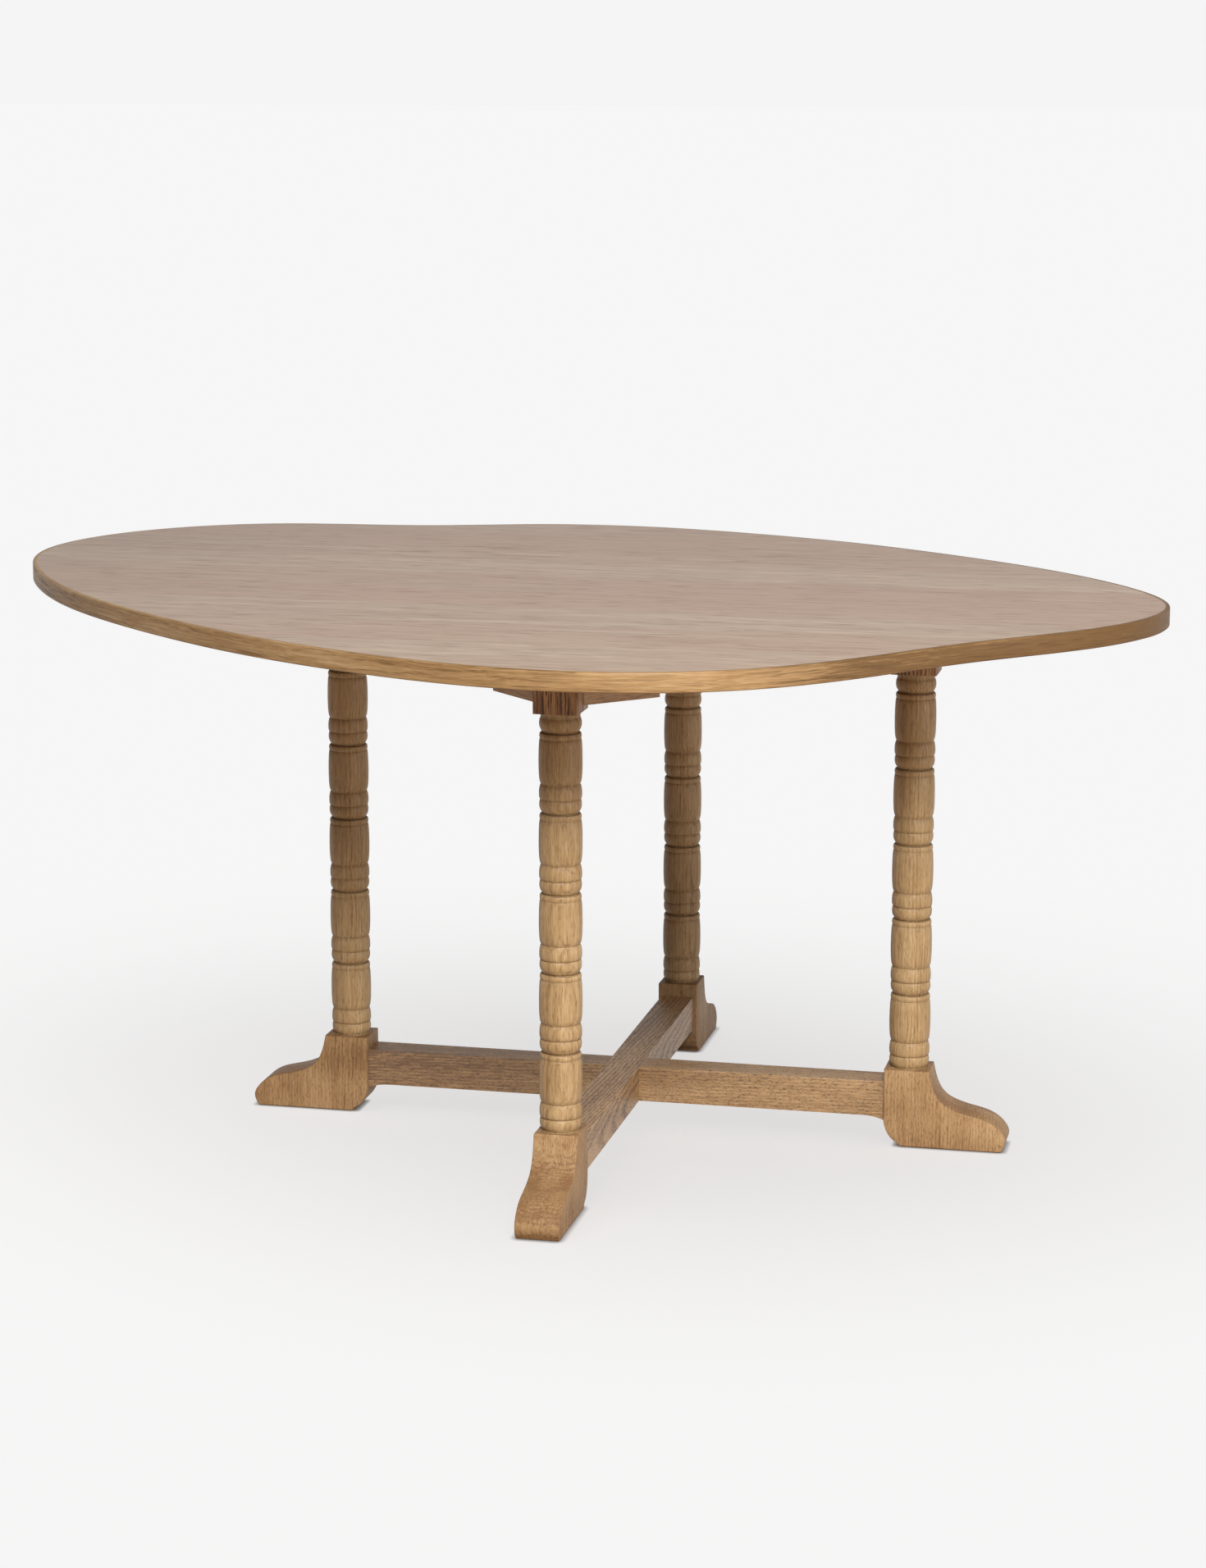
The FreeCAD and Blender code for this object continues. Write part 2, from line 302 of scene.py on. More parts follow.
# the top's pale veneer in leaves laid side by side, grain along X
veneerLook = {
    "leafWidth": 0.152,
    "leafShift": 0.041,
    "leafSeed": 3.0,
    "leafSlide": 7.0,
    "wave": (1.6, 7.0, 1.0),
    "waveDepth": 0.05,
    "bands": (1.1, 26.0, 1.0),
    "lines": (7.5, 120.0, 1.0),
    "fibres": (26.0, 520.0, 1.0),
    "dashes": (17.0, 210.0, 1.0),
    "dashCut": (0.57, 0.70),
    "bandTone": 1.1,
    "lineTone": 1.7,
    "fibreTone": 0.8,
    "leafTone": 0.35,
    "dashTone": 0.6,
    "rosiness": 0.6,
    "lightToMiddle": (0.0, 0.55),
    "middleToDark": (0.48, 1.1),
    "shadeRamp": (-0.30, -0.90, 0.22),  # painted shade: darker from the first place along X to the second, where less light falls
    "roughness": 0.37,
    "grainRough": 0.10,
    "grainBump": 0.6,
    "grainDepth": 0.00005,
}


def veneer(name, tones):
    light, middle, dark, rosy = (linear(*tone) for tone in tones)
    made = Material(name)
    along, across = made.split(made.node("ShaderNodeTexCoord", output=3))[:2]
    leaf = made.maths("FLOOR", (across + veneerLook["leafShift"]) / veneerLook["leafWidth"])
    pick = made.node("ShaderNodeTexWhiteNoise", {"noise_dimensions": "1D"},
                     {"W": leaf + veneerLook["leafSeed"]})
    slid = along + pick * veneerLook["leafSlide"]
    wave = made.noise(made.join(slid, across, pick), veneerLook["wave"]) - 0.5
    bent = made.join(slid, across + wave * veneerLook["waveDepth"], pick)
    bands = made.noise(bent, veneerLook["bands"], 3.0, 0.55) - 0.5
    lines = made.noise(bent, veneerLook["lines"], 4.0, 0.65) - 0.5
    fibre = made.noise(bent, veneerLook["fibres"], 2.0, 0.6) - 0.5
    dashes = made.noise(bent, veneerLook["dashes"]).between(*veneerLook["dashCut"])
    depth = (bands * veneerLook["bandTone"] + lines * veneerLook["lineTone"]
             + fibre * veneerLook["fibreTone"] + (pick - 0.5) * veneerLook["leafTone"] + 0.5)
    # painted shade towards the left end of the top
    first, last, amount = veneerLook["shadeRamp"]
    depth = depth + along.between(first, last) * amount
    body = made.mix(depth.between(*veneerLook["lightToMiddle"]), light, middle)
    body = made.mix(depth.between(*veneerLook["middleToDark"]), body, dark)
    blush = (pick * 0.6 + bands * 1.2 + 0.1).between(0.1, 0.8)
    body = made.mix(blush * veneerLook["rosiness"], body, rosy)
    color = made.mix(dashes * veneerLook["dashTone"], body, dark)
    grainRough, grainBump = veneerLook["grainRough"], veneerLook["grainBump"]
    rough = veneerLook["roughness"] + lines * grainRough + dashes * grainRough
    height = (1 - dashes) * grainBump + fibre * grainBump
    return made.finish(color, rough, height, veneerLook["grainDepth"])


topVeneer = veneer("paleOakVeneer",
                   ((172, 147, 124), (152, 127, 105), (120, 94, 73), (164, 130, 108)))
underVeneer = veneer("undersideVeneer",
                     ((168, 137, 100), (152, 120, 84), (118, 86, 56), (150, 116, 82)))

boardLook = {"chips": (260.0, 260.0, 700.0), "chipCut": (0.3, 0.75), "pale": (186, 158, 120),
             "deep": (142, 112, 78), "roughness": 0.7, "chipRough": 0.2, "chipDepth": 0.0002}


def board(name):  # pressed core board, seen only inside screw holes and at cut faces
    made = Material(name)
    chips = made.noise(made.node("ShaderNodeTexCoord", output=3), boardLook["chips"], 3.0, 0.7)
    pale, deep = linear(*boardLook["pale"]), linear(*boardLook["deep"])
    color = made.mix(chips.between(*boardLook["chipCut"]), pale, deep)
    rough = boardLook["roughness"] + (chips - 0.5) * boardLook["chipRough"]
    return made.finish(color, rough, chips, boardLook["chipDepth"])


metalLook = {"brushing": (900.0, 900.0, 3200.0), "brushRough": 0.15, "brushDepth": 0.00003,
             "stains": (90.0, 90.0, 90.0), "stainCut": (0.35, 0.7), "stainRough": 0.1}


def metal(name, light, dark, roughness):
    made = Material(name)
    place = made.node("ShaderNodeTexCoord", output=3)
    fine = made.noise(place, metalLook["brushing"])
    stain = made.noise(place, metalLook["stains"], 3.0)
    color = made.mix(stain.between(*metalLook["stainCut"]), linear(*light), linear(*dark))
    rough = (roughness + (fine - 0.5) * metalLook["brushRough"]
             + (stain - 0.5) * metalLook["stainRough"])
    return made.finish(color, rough, fine, metalLook["brushDepth"], {"Metallic": 1.0})


def pieceFrom(name, mesh, materials, *replaced):
    piece = bpy.data.objects.new(name, mesh)
    bpy.context.scene.collection.objects.link(piece)
    for material in materials:
        mesh.materials.append(material)
    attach(piece, "root")
    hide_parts(*replaced)
    return piece


def smoothByAngle(shape, degrees):
    for face in shape.faces:
        face.smooth = True
    for edge in shape.edges:
        if len(edge.link_faces) == 2:
            edge.smooth = edge.calc_face_angle(0) < math.radians(degrees)


def evaluated(piece):  # the piece's mesh with its modifiers applied
    bpy.context.view_layer.update()
    graph = bpy.context.evaluated_depsgraph_get()
    mesh = bpy.data.meshes.new_from_object(piece.evaluated_get(graph))
    bpy.data.objects.remove(piece)
    mesh.materials.clear()
    return mesh


class Tree:  # a Geometry Nodes tree written in the script
    def __init__(self, name, inputs):
        self.group = bpy.data.node_groups.new(name, "GeometryNodeTree")
        self.group.is_modifier = True
        socket = self.group.interface.new_socket
        socket("Geometry", in_out="INPUT", socket_type="NodeSocketGeometry")
        socket("Geometry", in_out="OUTPUT", socket_type="NodeSocketGeometry")
        self.keys = {}
        for title, kind in inputs.items():
            self.keys[title] = socket(title, in_out="INPUT", socket_type=kind).identifier
        self.start = self.group.nodes.new("NodeGroupInput")
        self.end = self.group.nodes.new("NodeGroupOutput")

    def add(self, kind, settings=None, sockets=None):
        made = self.group.nodes.new(kind)
        for name, value in (settings or {}).items():
            setattr(made, name, value)
        for name, value in (sockets or {}).items():
            if isinstance(value, bpy.types.NodeSocket):
                self.group.links.new(value, made.inputs[name])
            else:
                made.inputs[name].default_value = value
        return made

    def maths(self, operation, first, second=None):
        sockets = {0: first} if second is None else {0: first, 1: second}
        return self.add("ShaderNodeMath", {"operation": operation}, sockets).outputs[0]

    def store(self, geometry, title, value, kind="FLOAT"):
        stored = self.add("GeometryNodeStoreNamedAttribute", {"data_type": kind, "domain": "POINT"},
                          {"Geometry": geometry, "Name": title, "Value": value})
        return stored.outputs["Geometry"]

    def read(self, title, kind="FLOAT"):
        named = self.add("GeometryNodeInputNamedAttribute", {"data_type": kind}, {"Name": title})
        return named.outputs["Attribute"]

    def close(self, geometry, material):
        real = self.add("GeometryNodeRealizeInstances", {}, {"Geometry": geometry})
        finished = self.add("GeometryNodeSetMaterial", {},
                            {"Geometry": real.outputs["Geometry"], "Material": material})
        self.group.links.new(finished.outputs["Geometry"], self.end.inputs["Geometry"])

    def run(self, mesh, name, values):
        piece = bpy.data.objects.new(name, mesh)
        bpy.context.scene.collection.objects.link(piece)
        modifier = piece.modifiers.new("shape", "NODES")
        modifier.node_group = self.group
        for title, value in values.items():
            modifier[self.keys[title]] = value
        return evaluated(piece)


def polyline(name, points, attributes=None):
    mesh = bpy.data.meshes.new(name)
    mesh.from_pydata(points, [(i, i + 1) for i in range(len(points) - 1)], [])
    for title, values in (attributes or {}).items():
        layer = mesh.attributes.new(title, "FLOAT", "POINT")
        layer.data.foreach_set("value", values)
    return mesh


def giveGrain(mesh, look, number):  # where each point lies in its own upright plank
    turn = Matrix(((0, 0, 1), (1, 0, 0), (0, 1, 0)))  # grain along the first axis
    shift = Vector([first + step * number
                    for first, step in zip(look["plankStart"], look["plankStep"])])
    layer = mesh.attributes.new("woodPlace", "FLOAT_VECTOR", "POINT")
    for vertex, place in zip(mesh.vertices, layer.data):
        place.vector = turn @ vertex.co + shift


def smoothThrough(points, steps, closed):  # a natural or closed cubic spline through 2D points
    spots = np.array(points, float)
    if closed:
        spots = np.vstack([spots, spots[:1]])
    spans = np.diff(spots, axis=0)
    gaps = np.linalg.norm(spans, axis=1)
    slopes = spans / gaps[:, None]
    count = len(spots)
    system = np.zeros((count, count))
    right = np.zeros((count, 2))
    for i in range(1, count - 1):
        system[i, i - 1] = gaps[i - 1]
        system[i, i] = 2 * (gaps[i - 1] + gaps[i])
        system[i, i + 1] = gaps[i]
        right[i] = 6 * (slopes[i] - slopes[i - 1])
    if closed:
        system[0, 0] = 1
        system[0, -1] = -1
        system[-1, 0] = 2 * (gaps[-1] + gaps[0])
        system[-1, 1] = gaps[0]
        system[-1, -2] = gaps[-1]
        right[-1] = 6 * (slopes[0] - slopes[-1])
    else:
        system[0, 0] = system[-1, -1] = 1
    bends = np.linalg.solve(system, right)
    found = []
    for i in range(count - 1):
        for step in range(steps):
            b = step / steps
            a = 1 - b
            curve = ((a ** 3 - a) * bends[i] + (b ** 3 - b) * bends[i + 1]) * gaps[i] ** 2 / 6
            found.append(a * spots[i] + b * spots[i + 1] + curve)
    if not closed:
        found.append(spots[-1])
    return found


# the top: veneer slab and four lengths of lipping along its wavy edge
topShape = {
    "middle": (-0.095, 0.0),
    "turn": 15,
    "radii": (835, 781, 714, 670, 656, 661, 687, 708, 725, 843, 901, 869,
              766, 676, 615, 587, 588, 612, 661, 713, 731, 712, 715, 788),
    "steps": 16,
    "lipping": 0.006,
    "arris": 0.002,
    "arrisSteps": 5,
    "firstJoint": 5,
    "cornersApart": 6,
    "smooth": 30,
}
lippingNames = ("lipping_far", "lipping_left", "lipping_near", "lipping_right")

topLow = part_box("lipping_near")[0].z
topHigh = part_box("lipping_near")[1].z
corners = []
for number, radius in enumerate(topShape["radii"]):
    angle = math.radians(topShape["turn"] * number)
    corners.append((topShape["middle"][0] + radius / 1000 * math.cos(angle),
                    topShape["middle"][1] + radius / 1000 * math.sin(angle)))
rim = np.array(smoothThrough(corners, topShape["steps"], True))
ahead = np.roll(rim, -1, axis=0) - np.roll(rim, 1, axis=0)
ahead /= np.linalg.norm(ahead, axis=1)[:, None]
inward = np.stack([-ahead[:, 1], ahead[:, 0]], axis=1)


def veneerSlab(low, high):
    inner = rim + inward * topShape["lipping"]
    shape = bmesh.new()
    face = shape.faces.new([shape.verts.new((x, y, low)) for x, y in inner])
    raised = bmesh.ops.extrude_face_region(shape, geom=[face])
    for vertex in raised["geom"]:
        if isinstance(vertex, bmesh.types.BMVert):
            vertex.co.z = high
    bmesh.ops.recalc_face_normals(shape, faces=shape.faces)
    mesh = bpy.data.meshes.new("paleTop")
    shape.to_mesh(mesh)
    shape.free()
    return mesh


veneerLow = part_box("top_veneer")[0].z
paleTop = pieceFrom("paleTop", veneerSlab(veneerLow, topHigh), [topVeneer], "top_veneer")


def lippingTree():
    tree = Tree("lippingSweep", {"Profile": "NodeSocketObject", "Wood": "NodeSocketMaterial",
                                 "Plank Start": "NodeSocketFloat"})
    start = tree.start.outputs
    path = tree.add("GeometryNodeMeshToCurve", {}, {"Mesh": start["Geometry"]})
    level = tree.add("GeometryNodeSetCurveNormal", {"mode": "Z_UP"},
                     {"Curve": path.outputs["Curve"]})
    travelled = tree.add("GeometryNodeSplineParameter").outputs["Length"]
    rail = tree.store(level.outputs["Curve"], "along", travelled)
    profile = tree.add("GeometryNodeObjectInfo", {}, {"Object": start["Profile"]})
    ring = tree.add("GeometryNodeMeshToCurve", {}, {"Mesh": profile.outputs["Geometry"]})
    place = tree.add("GeometryNodeInputPosition").outputs["Position"]
    ring = tree.store(ring.outputs["Curve"], "section", place, "FLOAT_VECTOR")
    swept = tree.add("GeometryNodeCurveToMesh", {},
                     {"Curve": rail, "Profile Curve": ring, "Fill Caps": True})
    parts = tree.add("ShaderNodeSeparateXYZ", {}, {"Vector": tree.read("section", "FLOAT_VECTOR")})
    shifted = tree.maths("ADD", tree.read("along"), start["Plank Start"])
    wood = tree.add("ShaderNodeCombineXYZ", {}, {"X": shifted, "Y": parts.outputs["X"],
                                                 "Z": parts.outputs["Y"]})
    stored = tree.store(swept.outputs["Mesh"], "woodPlace", wood.outputs["Vector"], "FLOAT_VECTOR")
    tree.close(stored, start["Wood"])
    return tree


def lippingSection():  # x runs outward from the middle of the strip, y up
    half = topShape["lipping"] / 2
    tall = (topHigh - topLow) / 2
    arris = topShape["arris"]
    points = [(-half, -tall)]
    for centre, start in ((-(tall - arris), -90), (tall - arris, 0)):
        for step in range(topShape["arrisSteps"] + 1):
            angle = math.radians(start + 90 / topShape["arrisSteps"] * step)
            points.append((half - arris + arris * math.cos(angle),
                           centre + arris * math.sin(angle)))
    points.append((-half, tall))
    mesh = bpy.data.meshes.new("lippingSection")
    mesh.from_pydata([(x, y, 0) for x, y in points],
                     [(i, (i + 1) % len(points)) for i in range(len(points))], [])
    holder = bpy.data.objects.new("lippingSection", mesh)
    bpy.context.scene.collection.objects.link(holder)
    return holder


sweep = lippingTree()
section = lippingSection()
middleLine = rim + inward * (topShape["lipping"] / 2)
level = (topLow + topHigh) / 2
lengths = np.linalg.norm(np.roll(middleLine, -1, axis=0) - middleLine, axis=1)
span = topShape["cornersApart"] * topShape["steps"]
joint = topShape["firstJoint"] * topShape["steps"]
for number, name in enumerate(lippingNames):
    first = joint + number * span
    points = [(*middleLine[(first + i) % len(middleLine)], level) for i in range(span + 1)]
    start = float(np.roll(lengths, -joint)[:number * span].sum())  # the grain runs on over joints
    mesh = sweep.run(polyline(name + "Path", points), name + "Strip",
                     {"Profile": section, "Wood": edgeOak, "Plank Start": start})
    shape = bmesh.new()
    shape.from_mesh(mesh)
    bmesh.ops.recalc_face_normals(shape, faces=shape.faces)
    smoothByAngle(shape, topShape["smooth"])
    shape.to_mesh(mesh)
    shape.free()
    strip = pieceFrom(name + "_strip", mesh, [edgeOak], name)
bpy.data.objects.remove(section)
print("stage: top and lipping made")


# turned legs: one outline, lathed in Geometry Nodes, with a square head
legShape = {
    "period": 0.1055,
    "periods": 5,
    "segments": 96,
    "merge": 0.00001,
    "headArris": 0.0011,
    "headLow": 0.662,
    "headLong": 0.062,
    "headWide": 0.0585,
    "smooth": 38,
    "plankStart": (0.0, 0.024, 0.052),
    "plankStep": (0.9, 0.011, -0.009),
}

# height above the groove below and radius in mm, with how much painted shade the hollow gets
bead = ((0.6, 24.5, 0.6), (2.0, 25.1, 0.15), (4.2, 26.4, 0), (7.0, 27.2, 0), (10.5, 27.5, 0),
        (13.6, 27.2, 0), (16.0, 26.6, 0.15), (17.2, 26.0, 0.75))
barrel = ((18.2, 27.0, 0.3), (20.4, 27.6, 0), (23.5, 27.8, 0), (28.5, 27.7, 0), (32.5, 27.1, 0.05),
          (35.4, 26.3, 0.3), (37.2, 25.4, 0.6), (38.4, 25.8, 0.45), (40.2, 26.7, 0.12),
          (44.0, 27.4, 0), (50.0, 27.9, 0), (58.0, 28.2, 0), (68.0, 28.3, 0), (80.0, 28.1, 0),
          (89.0, 27.7, 0), (93.0, 27.3, 0.15), (95.2, 26.8, 0.4), (96.0, 26.4, 0.5),
          (97.0, 26.7, 0.25), (99.2, 27.2, 0), (101.5, 27.1, 0), (103.2, 26.3, 0.1),
          (103.7, 24.8, 0.9), (103.9, 23.1, 1), (105.1, 23.0, 1), (105.4, 23.8, 1))
neck = ((-7.5, 25.8, 0.5), (-6.0, 25.5, 0.3), (-2.5, 25.9, 0.1), (0, 26.7, 0.4))  # below the head


def legOutline():
    rows = [(0.0, 24.8, 0.5)]
    for number in range(legShape["periods"] + 1):
        low = number * legShape["period"] * 1000
        pattern = bead if number == legShape["periods"] else bead + barrel
        rows += [(low + height, radius, grooveShade) for height, radius, grooveShade in pattern]
    tall = (legShape["headLow"] - footTop) * 1000
    rows += [(tall + height, radius, grooveShade) for height, radius, grooveShade in neck]
    return [(height / 1000, radius / 1000, grooveShade) for height, radius, grooveShade in rows]


def latheTree():
    tree = Tree("legLathe", {"Segments": "NodeSocketInt", "Rows": "NodeSocketInt",
                             "Wood": "NodeSocketMaterial"})
    start = tree.start.outputs
    around = tree.maths("ADD", start["Segments"], 1.0)
    grid = tree.add("GeometryNodeMeshGrid", {}, {"Vertices X": start["Rows"], "Vertices Y": around})
    index = tree.add("GeometryNodeInputIndex").outputs[0]
    row = tree.maths("FLOOR", tree.maths("DIVIDE", index, around))
    column = tree.maths("MODULO", index, around)
    angle = tree.maths("MULTIPLY", tree.maths("DIVIDE", column, start["Segments"]), 2 * math.pi)

    def sample(value, kind):  # what the outline holds at this row
        taken = tree.add("GeometryNodeSampleIndex", {"data_type": kind, "domain": "POINT"},
                         {"Geometry": start["Geometry"], "Value": value, "Index": row})
        return taken.outputs[0]

    spot = sample(tree.add("GeometryNodeInputPosition").outputs[0], "FLOAT_VECTOR")
    xyz = tree.add("ShaderNodeSeparateXYZ", {}, {"Vector": spot}).outputs
    moved = tree.add("ShaderNodeCombineXYZ", {}, {
        "X": tree.maths("MULTIPLY", xyz["X"], tree.maths("COSINE", angle)),
        "Y": tree.maths("MULTIPLY", xyz["X"], tree.maths("SINE", angle)), "Z": xyz["Z"]})
    stored = tree.store(grid.outputs["Mesh"], "groove", sample(tree.read("groove"), "FLOAT"))
    turned = tree.add("GeometryNodeSetPosition", {},
                      {"Geometry": stored, "Position": moved.outputs[0]})
    merged = tree.add("GeometryNodeMergeByDistance", {},
                      {"Geometry": turned.outputs["Geometry"], "Distance": legShape["merge"]})
    tree.close(merged.outputs["Geometry"], start["Wood"])
    return tree


def squareBlock(shape, low, high, arris):  # a squared block with eased upright edges
    made = bmesh.ops.create_cube(shape, size=1.0)["verts"]
    middle = (low + high) / 2
    size = high - low
    for vertex in made:
        vertex.co = Vector(tuple(middle[i] + vertex.co[i] * size[i] for i in range(3)))
    edges = set(edge for vertex in made for edge in vertex.link_edges)
    edges = [edge for edge in edges if abs(edge.verts[0].co.z - edge.verts[1].co.z) > size.z / 2]
    bmesh.ops.bevel(shape, geom=edges, offset=arris, segments=2, profile=0.5, affect="EDGES")
    slack = 0.0001
    for face in shape.faces:
        if all(vertex.co.z > low.z - slack for vertex in face.verts):
            face.material_index = 1  # the head's own oak


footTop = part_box("foot_near")[1].z
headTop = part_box("leg_near")[1].z
legReach = (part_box("leg_right")[0].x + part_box("leg_right")[1].x) / 2
sides = (("right", 0), ("far", 90), ("left", 180), ("near", 270))


def toItsSide(mesh, angle):  # out from the middle, then round to its side
    out = Matrix.Translation((legReach, 0, 0))
    mesh.transform(Matrix.Rotation(math.radians(angle), 4, "Z") @ out)


rows = legOutline()
outline = [(0, 0, footTop)] + [(radius, 0, footTop + height) for height, radius, grooveShade in rows]
outline.append((0, 0, outline[-1][2]))
# how much painted shade each row of the outline gets
grooveShades = [0] + [grooveShade for height, radius, grooveShade in rows] + [0]
lathed = {"Segments": legShape["segments"], "Rows": len(outline), "Wood": legOak}
turnedMesh = latheTree().run(polyline("legOutline", outline, {"groove": grooveShades}), "turnedLeg",
                             lathed)
shape = bmesh.new()
shape.from_mesh(turnedMesh)
bmesh.ops.recalc_face_normals(shape, faces=shape.faces)
half = Vector((legShape["headLong"] / 2, legShape["headWide"] / 2, 0))
squareBlock(shape, Vector((-half.x, -half.y, legShape["headLow"])),
            Vector((half.x, half.y, headTop)), legShape["headArris"])
smoothByAngle(shape, legShape["smooth"])
for number, (side, angle) in enumerate(sides):
    mesh = bpy.data.meshes.new("turned_leg_" + side)
    shape.to_mesh(mesh)
    giveGrain(mesh, legShape, number)
    toItsSide(mesh, angle)
    leg = pieceFrom("turned_leg_" + side, mesh, [legOak, headOak], "leg_" + side)
shape.free()
print("stage: turned legs made")


# ogee feet, each outline in mm from the leg's centre line
footShape = {
    "arris": 0.0015,
    "cove": ((31, 109), (35.5, 90), (41, 76), (50, 65), (63, 57.5), (82, 51.5), (99, 47.5),
             (113, 43), (124, 36.5), (132.5, 28), (138, 17), (136.5, 7.5), (132, 0)),
    "coveSteps": 6,
    "heel": ((-8, 0), (-9.8, 2.8), (-13.1, 5.8), (-17.5, 8.5), (-22.9, 14.2), (-27.6, 22.5),
             (-31, 36)),
    "heelSteps": 3,
    "backCorner": (-31.0, 109.0),
    "wide": 0.0585,
    "smooth": 35,
    "plankStart": (2.0, 0.05, 0.031),
    "plankStep": (0.7, 0.02, -0.012),
}


def footMesh():
    cove = smoothThrough(footShape["cove"], footShape["coveSteps"], False)
    heel = smoothThrough(footShape["heel"], footShape["heelSteps"], False)
    ring = [footShape["backCorner"], *cove, *heel]
    half = footShape["wide"] / 2
    shape = bmesh.new()
    face = shape.faces.new([shape.verts.new((x / 1000, -half, z / 1000)) for x, z in ring])
    made = bmesh.ops.extrude_face_region(shape, geom=[face])
    for vertex in made["geom"]:
        if isinstance(vertex, bmesh.types.BMVert):
            vertex.co.y = half
    bmesh.ops.recalc_face_normals(shape, faces=shape.faces)
    rims = [edge for edge in shape.edges if abs(edge.verts[0].co.y - edge.verts[1].co.y) < half]
    bmesh.ops.bevel(shape, geom=rims, offset=footShape["arris"], segments=3, profile=0.5,
                    affect="EDGES")
    return shape


shape = footMesh()
smoothByAngle(shape, footShape["smooth"])
for number, (side, angle) in enumerate(sides):
    mesh = bpy.data.meshes.new("ogee_foot_" + side)
    shape.to_mesh(mesh)
    giveGrain(mesh, footShape, number)
    toItsSide(mesh, angle)
    foot = pieceFrom("ogee_foot_" + side, mesh, [footOak], "foot_" + side)
shape.free()
print("stage: feet made")


# the CAD pieces keep their shape and get these finishes
brass = metal("insertBrass", (196, 160, 84), (150, 116, 56), 0.34)
steel = metal("zincSteel", (176, 178, 180), (128, 130, 134), 0.36)
blackened = metal("screwSteel", (120, 118, 116), (84, 82, 80), 0.42)
core = board("coreBoard")
finishes = {
    "top_core": core, "underside_veneer": underVeneer,
    "stretcher_long": longOak, "stretcher_cross": crossOak,
    "rail_far_right": railOak, "rail_near_left": railOak,
    "rail_far_left": railOakTurned, "rail_near_right": railOakTurned,
    "leg_bolts": steel, "bolt_washers": steel, "leg_inserts": brass,
    "rail_dowels": crossOak, "top_screws": blackened, "lap_screws": blackened,
}
for name, finish in finishes.items():
    for slot in nodes[name].material_slots:
        slot.material = finish
print("stage: CAD finishes set")


# floor, light and camera; angles in degrees
studio = {
    "paper": 0.913,
    "wall": 0.86,
    "surround": 0.13,
    "floorDiffuse": 0.36,
    "floorGlow": 0.675,
    "bounce": (0.40, 0.27, 0.16),
    "contactReach": 0.009,
    "contactDepth": 1.6,
    "sunStrength": 2.1,
    "sunSpread": 30.0,
    "sunHeight": 47.0,
    "sunTurn": 10.0,
    "sheetStrength": 1.7,
    "sheetSpread": 80.0,
    "sheetBack": 14.0,
    "sheetSide": -7.0,
    "keyPower": 175.0,
    "keySize": 1.5,
    "keyPlace": (1.3, -3.3, 3.0),
    "fillPower": 60.0,
    "fillSize": 2.2,
    "fillPlace": (4.2, -1.6, 1.1),
    "aim": (0.0, 0.0, 0.45),
    "floorReach": 150.0,
    "paperLevel": -0.0004,
    "bounceLevel": -0.002,
}


def stageFloor(name, height, diffuse, glow):
    look = Material(name)
    look.shader.inputs["Base Color"].default_value = (*diffuse, 1.0)
    look.shader.inputs["Roughness"].default_value = 1.0
    look.shader.inputs["Specular IOR Level"].default_value = 0.0
    if glow:  # painted contact shadow: the glow fades where a foot stands close
        clear = look.node("ShaderNodeAmbientOcclusion", {"samples": 12},
                          {"Distance": studio["contactReach"]}, 1)
        clear = look.maths("POWER", clear, studio["contactDepth"])
        look.put(look.shader.inputs["Emission Color"], clear)
    look.shader.inputs["Emission Strength"].default_value = glow
    shape = bmesh.new()
    bmesh.ops.create_grid(shape, x_segments=1, y_segments=1, size=studio["floorReach"])
    mesh = bpy.data.meshes.new(name)
    shape.to_mesh(mesh)
    shape.free()
    mesh.materials.append(look.made)
    sheet = bpy.data.objects.new(name, mesh)
    bpy.context.scene.collection.objects.link(sheet)
    sheet.location.z = height
    return sheet


paper = stageFloor("paleFloor", studio["paperLevel"], (studio["floorDiffuse"],) * 3,
                   studio["floorGlow"])
paper.visible_diffuse = False  # the sheet below gives the light that comes back up
paper.visible_shadow = False
bounce = stageFloor("floorBounce", studio["bounceLevel"], studio["bounce"], 0.0)
bounce.visible_camera = False
bounce.visible_glossy = False

# the air is pale at the skyline, with a bright wall behind, and dimmer elsewhere
air = {"wall": (0.35, 0.85), "wallTop": (0.18, 0.60), "skyline": (0.025, 0.06)}
world = bpy.data.worlds.new("studioAir")
bpy.context.scene.world = world
world.use_nodes = True


def airNode(kind, sockets):
    made = world.node_tree.nodes.new(kind)
    for title, value in sockets.items():
        if isinstance(value, bpy.types.NodeSocket):
            world.node_tree.links.new(value, made.inputs[title])
        else:
            made.inputs[title].default_value = value
    return made.outputs


def airRise(value, part, low=0.0, high=1.0):
    first, last = air[part]
    return airNode("ShaderNodeMapRange", {"Value": value, "From Min": first, "From Max": last,
                                          "To Min": low, "To Max": high})[0]


def airMix(factor, first, second):
    return airNode("ShaderNodeMix", {"Factor": factor, "A": first, "B": second})[0]


looking = airNode("ShaderNodeTexCoord", {})["Generated"]
towards = airNode("ShaderNodeSeparateXYZ", {"Vector": looking})
wallward = airRise(towards["Y"], "wall", studio["surround"], studio["wall"])
upper = airMix(airRise(towards["Z"], "wallTop"), wallward, studio["surround"])
whole = airMix(airRise(towards["Z"], "skyline"), studio["paper"], upper)
world.node_tree.links.new(whole, world.node_tree.nodes["Background"].inputs["Color"])


def hang(name, kind, strength):
    light = bpy.data.lights.new(name, kind)
    light.energy = strength
    holder = bpy.data.objects.new(name, light)
    bpy.context.scene.collection.objects.link(holder)
    return holder


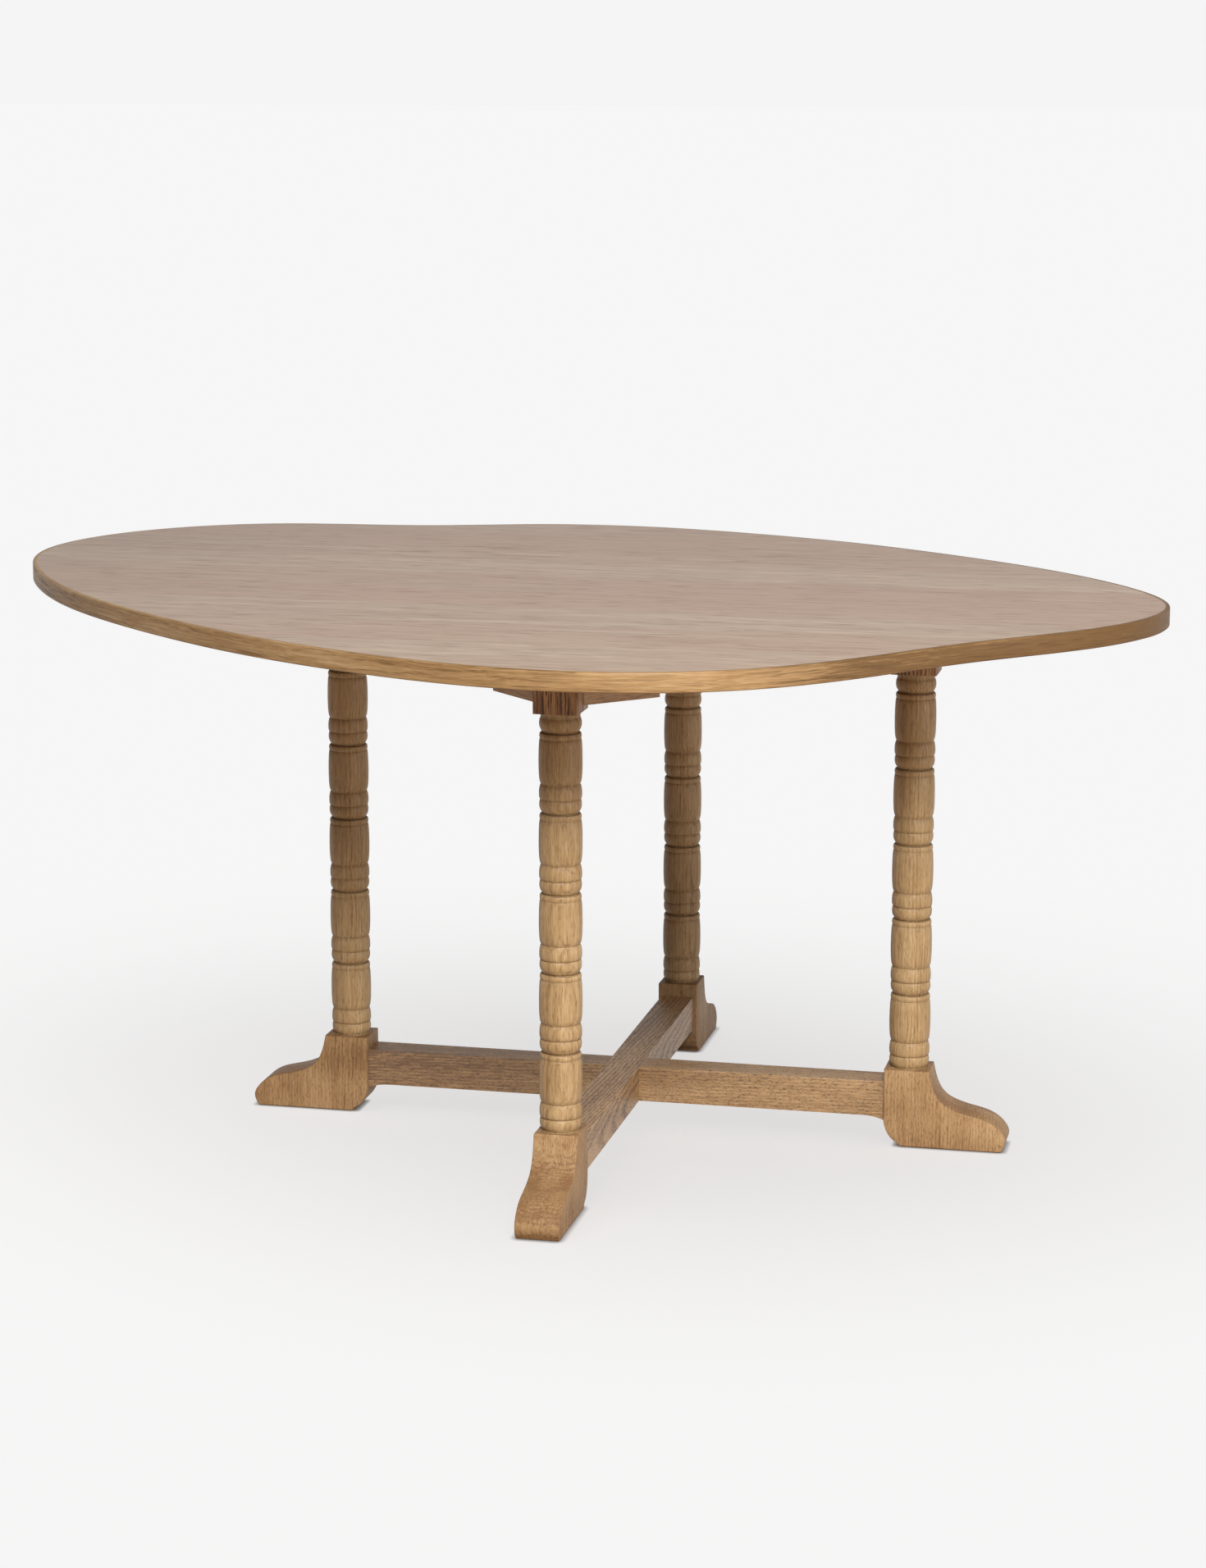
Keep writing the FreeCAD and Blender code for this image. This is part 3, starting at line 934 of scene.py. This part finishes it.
def softDisk(name, part):  # a round softbox aimed at the table
    light = hang(name, "AREA", studio[part + "Power"])
    light.data.shape = "DISK"
    light.data.size = studio[part + "Size"]
    light.location = studio[part + "Place"]
    aim = Vector(studio["aim"]) - light.location
    light.rotation_euler = aim.to_track_quat("-Z", "Y").to_euler()
    return light


sheet = hang("overheadSheet", "SUN", studio["sheetStrength"])
sheet.data.angle = math.radians(studio["sheetSpread"])
sheet.rotation_euler = (math.radians(studio["sheetBack"]), math.radians(studio["sheetSide"]), 0)
sun = hang("highSoftbox", "SUN", studio["sunStrength"])
sun.data.angle = math.radians(studio["sunSpread"])
sun.rotation_euler = (math.radians(90 - studio["sunHeight"]), 0, math.radians(studio["sunTurn"]))
key = softDisk("keySoftbox", "key")
fill = softDisk("fillSoftbox", "fill")

# the paper has its own overhead light, which keeps an even tone and a soft shadow
lit = bpy.data.collections.new("litBySoftboxes")
backing = bpy.data.collections.new("litFromOverhead")
for thing in bpy.context.scene.objects:
    if thing.type == "MESH":
        (backing if thing == paper else lit).objects.link(thing)
for softbox in (sun, key, fill):
    softbox.light_linking.receiver_collection = lit
sheet.light_linking.receiver_collection = backing

view = {  # turned, tipped down and rolled in radians
    "place": (1.0274, -4.7875, 1.4614),
    "turned": 0.21807,
    "down": 0.19604,
    "rolled": 0.00151,
    "lens": 82.39,
    "filmHeight": 36.0,
    "farthest": 200.0,
}
camera = bpy.data.cameras.new("camera")
camera.lens = view["lens"]
camera.sensor_fit = "VERTICAL"
camera.sensor_height = view["filmHeight"]
camera.clip_end = view["farthest"]
cameraHolder = bpy.data.objects.new("camera", camera)
bpy.context.scene.collection.objects.link(cameraHolder)
turned = Matrix.Rotation(view["turned"], 4, "Z")
tipped = Matrix.Rotation(quarter - view["down"], 4, "X")
rolled = Matrix.Rotation(view["rolled"], 4, "Z")
cameraHolder.matrix_world = Matrix.Translation(view["place"]) @ (turned @ tipped) @ rolled
bpy.context.scene.camera = cameraHolder
bpy.context.scene.view_settings.view_transform = "Standard"
print("stage: studio ready")
